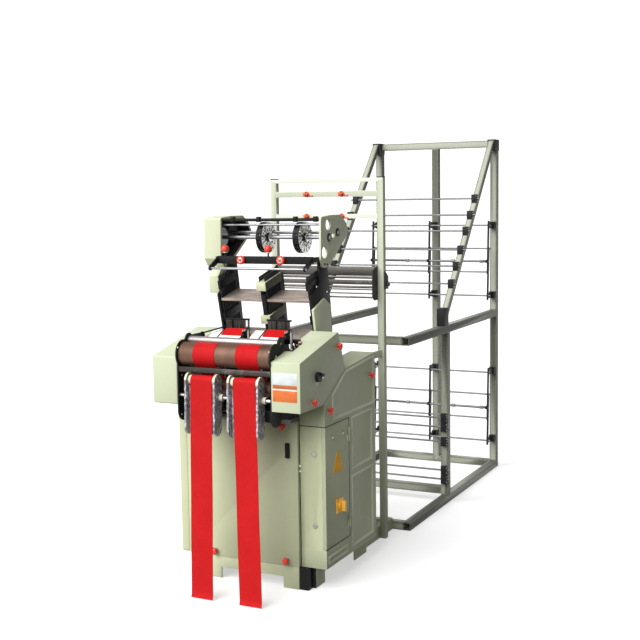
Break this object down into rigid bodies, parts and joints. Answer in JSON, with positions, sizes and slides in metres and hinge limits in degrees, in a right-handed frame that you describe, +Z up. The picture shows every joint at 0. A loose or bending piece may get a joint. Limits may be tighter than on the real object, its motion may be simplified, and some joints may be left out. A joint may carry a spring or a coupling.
{
  "type": "narrow fabric needle loom",
  "caption": "Floor-standing needle loom that weaves narrow webbing, with heald frames, weft feeders, a take-up, a gantry and a yarn creel behind.",
  "frame": {"origin": "middle of the floor space that the loom takes up", "axes": "+Z up, -Y towards the weaver, +Y towards the creel, +X to the weaver's right"},
  "size_m": [0.8341, 2.769, 2.02],
  "materials": {
    "sage_paint": "satin enamel",
    "cream_paint": "satin enamel, palest on the beams",
    "black_cast": "black enamel, slightly worn",
    "black_steel": "black oxide",
    "bright_steel": "ground and polished",
    "chrome": "chrome plate",
    "orange_plastic": "glossy",
    "red_plastic": "glossy",
    "black_plastic": "moulded",
    "bronze_rubber": "grip covering, copper brown",
    "webbing": "satin weave",
    "clear_sheet": "clear acrylic, scuffed",
    "cream_plastic": "turned nylon",
    "white_plate": "white enamel",
    "belt": "matt belt",
    "machined_iron": "milled face",
    "frame_aluminium": "anodised, grey brown",
    "creel_paint": "olive grey enamel"
  },
  "bodies": {
    "machine": {"bed": "machined_iron", "bed_fittings": "black_cast", "breast_plates": "white_plate", "cabinet_box": "sage_paint", "cam_cases": "machined_iron", "centre_combs": "cream_plastic", "chute_shaft": "bright_steel", "chutes": "clear_sheet", "creel": "creel_paint", "creel_rods": "bright_steel", "drive_belts": "belt", "end_plates": "black_cast", "front_cover": "sage_paint", "gantry": "cream_paint", "gantry_tensioners": "orange_plastic", "guide_bar": "bright_steel", "guide_plates": "black_cast", "hand_knobs": "red_plastic", "head_left_case": "cream_paint", "head_right_plate": "cream_paint", "head_rods": "chrome", "left_column": "sage_paint", "left_housing": "sage_paint", "motor": "black_cast", "plinth": "sage_paint", "rear_cover": "sage_paint", "red_tensioners": "red_plastic", "right_column": "sage_paint", "right_housing": "sage_paint", "rod_clamps": "black_plastic", "side_brackets": "cream_paint", "side_plates": "black_cast", "spool_arms": "black_cast", "tapes": "webbing", "tension_bar": "black_steel", "tube_sockets": "black_plastic", "warp_guides": "bright_steel"},
    "door": {"cabinet_door": "sage_paint", "switch_plate": "orange_plastic"},
    "switch": {"switch_handle": "orange_plastic"},
    "upper_lock": {"upper_lock": "chrome"},
    "lower_lock": {"lower_lock": "chrome"},
    "latch": {"cover_latch": "black_plastic"},
    "crank": {"side_crank": "black_plastic"},
    "take_up": {"take_up_roller": "bronze_rubber"},
    "press": {"press_roller": "bright_steel"},
    "lower": {"lower_roller": "bright_steel"},
    "chute_rolls": {"chute_rollers": "cream_plastic"},
    "sley": {"sley": "black_cast", "reeds": "bright_steel"},
    "left_needle": {"left_needle": "bright_steel"},
    "right_needle": {"right_needle": "bright_steel"},
    "odd_healds": {"odd_frames": "frame_aluminium"},
    "even_healds": {"even_frames": "frame_aluminium"},
    "feeder": {"feeder_shaft": "bright_steel", "feeder_drums": "black_steel"},
    "counter": {"counter_shaft": "bright_steel"},
    "main": {"main_shaft": "bright_steel"},
    "motor_shaft": {"motor_rotor": "bright_steel"},
    "cams": {"cam_shaft": "bright_steel"}
  },
  "joints": [
    {"name": "door_swing", "type": "hinge", "parent": "machine", "child": "door", "pos_m": [0.38325, -0.856, 0.451], "axis": [0, 0, 1], "range_deg": [0, 110]},
    {"name": "switch_turn", "type": "hinge", "parent": "door", "child": "switch", "pos_m": [0.38625, -0.962, 0.352], "axis": [1, 0, 0], "range_deg": [0, 90]},
    {"name": "upper_lock_turn", "type": "hinge", "parent": "machine", "child": "upper_lock", "pos_m": [0.32525, -1.09, 0.598], "axis": [0, 1, 0], "range_deg": [0, 90]},
    {"name": "lower_lock_turn", "type": "hinge", "parent": "machine", "child": "lower_lock", "pos_m": [0.32525, -1.09, 0.287], "axis": [0, 1, 0], "range_deg": [0, 90]},
    {"name": "latch_turn", "type": "hinge", "parent": "machine", "child": "latch", "pos_m": [0.21225, -1.111, 0.612], "axis": [0, 1, 0], "range_deg": [0, 90]},
    {"name": "crank_turn", "type": "hinge", "parent": "machine", "child": "crank", "pos_m": [0.37825, -1.159, 0.946], "axis": [1, 0, 0], "continuous": true},
    {"name": "take_up_spin", "type": "hinge", "parent": "machine", "child": "take_up", "pos_m": [0.02025, -1.266, 1.032], "axis": [1, 0, 0], "continuous": true},
    {"name": "press_spin", "type": "hinge", "parent": "machine", "child": "press", "pos_m": [0.02025, -1.22126, 1.08532], "axis": [1, 0, 0], "continuous": true},
    {"name": "lower_spin", "type": "hinge", "parent": "machine", "child": "lower", "pos_m": [0.02025, -1.236, 0.894], "axis": [1, 0, 0], "continuous": true},
    {"name": "chute_roll_spin", "type": "hinge", "parent": "machine", "child": "chute_rolls", "pos_m": [0.02025, -1.316, 0.93], "axis": [1, 0, 0], "continuous": true},
    {"name": "sley_swing", "type": "hinge", "parent": "machine", "child": "sley", "pos_m": [0.02025, -0.981, 0.8], "axis": [-1, 0, 0], "range_deg": [0, 10]},
    {"name": "left_needle_swing", "type": "hinge", "parent": "machine", "child": "left_needle", "pos_m": [-0.07475, -1.146, 1.004], "axis": [0, 0, 1], "range_deg": [0, 55.5]},
    {"name": "right_needle_swing", "type": "hinge", "parent": "machine", "child": "right_needle", "pos_m": [0.13125, -1.146, 1.004], "axis": [0, 0, 1], "range_deg": [0, 55.5]},
    {"name": "odd_heald_lift", "type": "slide", "parent": "machine", "child": "odd_healds", "axis": [0, -0.2419, 0.9703], "range_m": [-0.02, 0.02]},
    {"name": "even_heald_lift", "type": "slide", "parent": "machine", "child": "even_healds", "axis": [0, -0.2419, 0.9703], "range_m": [-0.02, 0.02]},
    {"name": "feeder_spin", "type": "hinge", "parent": "machine", "child": "feeder", "pos_m": [0.02025, -0.814, 1.51], "axis": [1, 0, 0], "continuous": true},
    {"name": "counter_spin", "type": "hinge", "parent": "machine", "child": "counter", "pos_m": [0.02025, -0.726, 1.529], "axis": [1, 0, 0], "continuous": true},
    {"name": "main_spin", "type": "hinge", "parent": "machine", "child": "main", "pos_m": [0.02025, -0.811, 0.6], "axis": [1, 0, 0], "continuous": true},
    {"name": "motor_spin", "type": "hinge", "parent": "machine", "child": "motor_shaft", "pos_m": [0.07025, -0.681, 0.26], "axis": [1, 0, 0], "continuous": true},
    {"name": "cam_spin", "type": "hinge", "parent": "machine", "child": "cams", "pos_m": [0.02025, -0.802, 0.835], "axis": [1, 0, 0], "continuous": true}
  ],
  "couplings": [
    {"joint": "press_spin", "follows": "take_up_spin", "ratio": -2.8033},
    {"joint": "lower_spin", "follows": "take_up_spin", "ratio": -1.639},
    {"joint": "chute_roll_spin", "follows": "take_up_spin", "ratio": 2.4085},
    {"joint": "left_needle_swing", "follows": "sley_swing", "ratio": 5.55},
    {"joint": "right_needle_swing", "follows": "sley_swing", "ratio": 5.55},
    {"joint": "even_heald_lift", "follows": "odd_heald_lift", "ratio": -1},
    {"joint": "counter_spin", "follows": "feeder_spin", "ratio": -1},
    {"joint": "motor_spin", "follows": "main_spin", "ratio": 2.3598},
    {"joint": "cam_spin", "follows": "main_spin", "ratio": 1}
  ]
}
